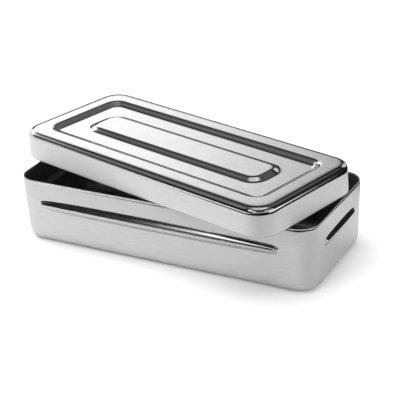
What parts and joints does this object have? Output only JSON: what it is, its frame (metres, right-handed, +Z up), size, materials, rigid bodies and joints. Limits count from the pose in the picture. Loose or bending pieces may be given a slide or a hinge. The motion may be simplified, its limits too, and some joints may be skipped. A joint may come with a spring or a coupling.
{
  "type": "steel sterilization box",
  "caption": "Shallow rectangular stainless steel instrument box with round corners, beaded walls and a loose embossed lid lying turned on its rim.",
  "frame": {"origin": "middle of the tray's flat underside", "axes": "+X along the tray's long side, +Y across it, +Z up out of the tray; the loose lid lies turned about 15 degrees clockwise as seen from above"},
  "size_m": [0.1913, 0.117, 0.0537],
  "materials": {
    "tray_steel": "satin stainless steel, pressed",
    "lid_steel": "polished stainless steel, pressed"
  },
  "bodies": {
    "tray": {"tray": "tray_steel"},
    "lid": {"lid": "lid_steel"}
  },
  "joints": [
    {"name": "lid_lift", "type": "slide", "parent": "tray", "child": "lid", "axis": [0, 0, 1], "range_m": [0, 0.08]}
  ]
}
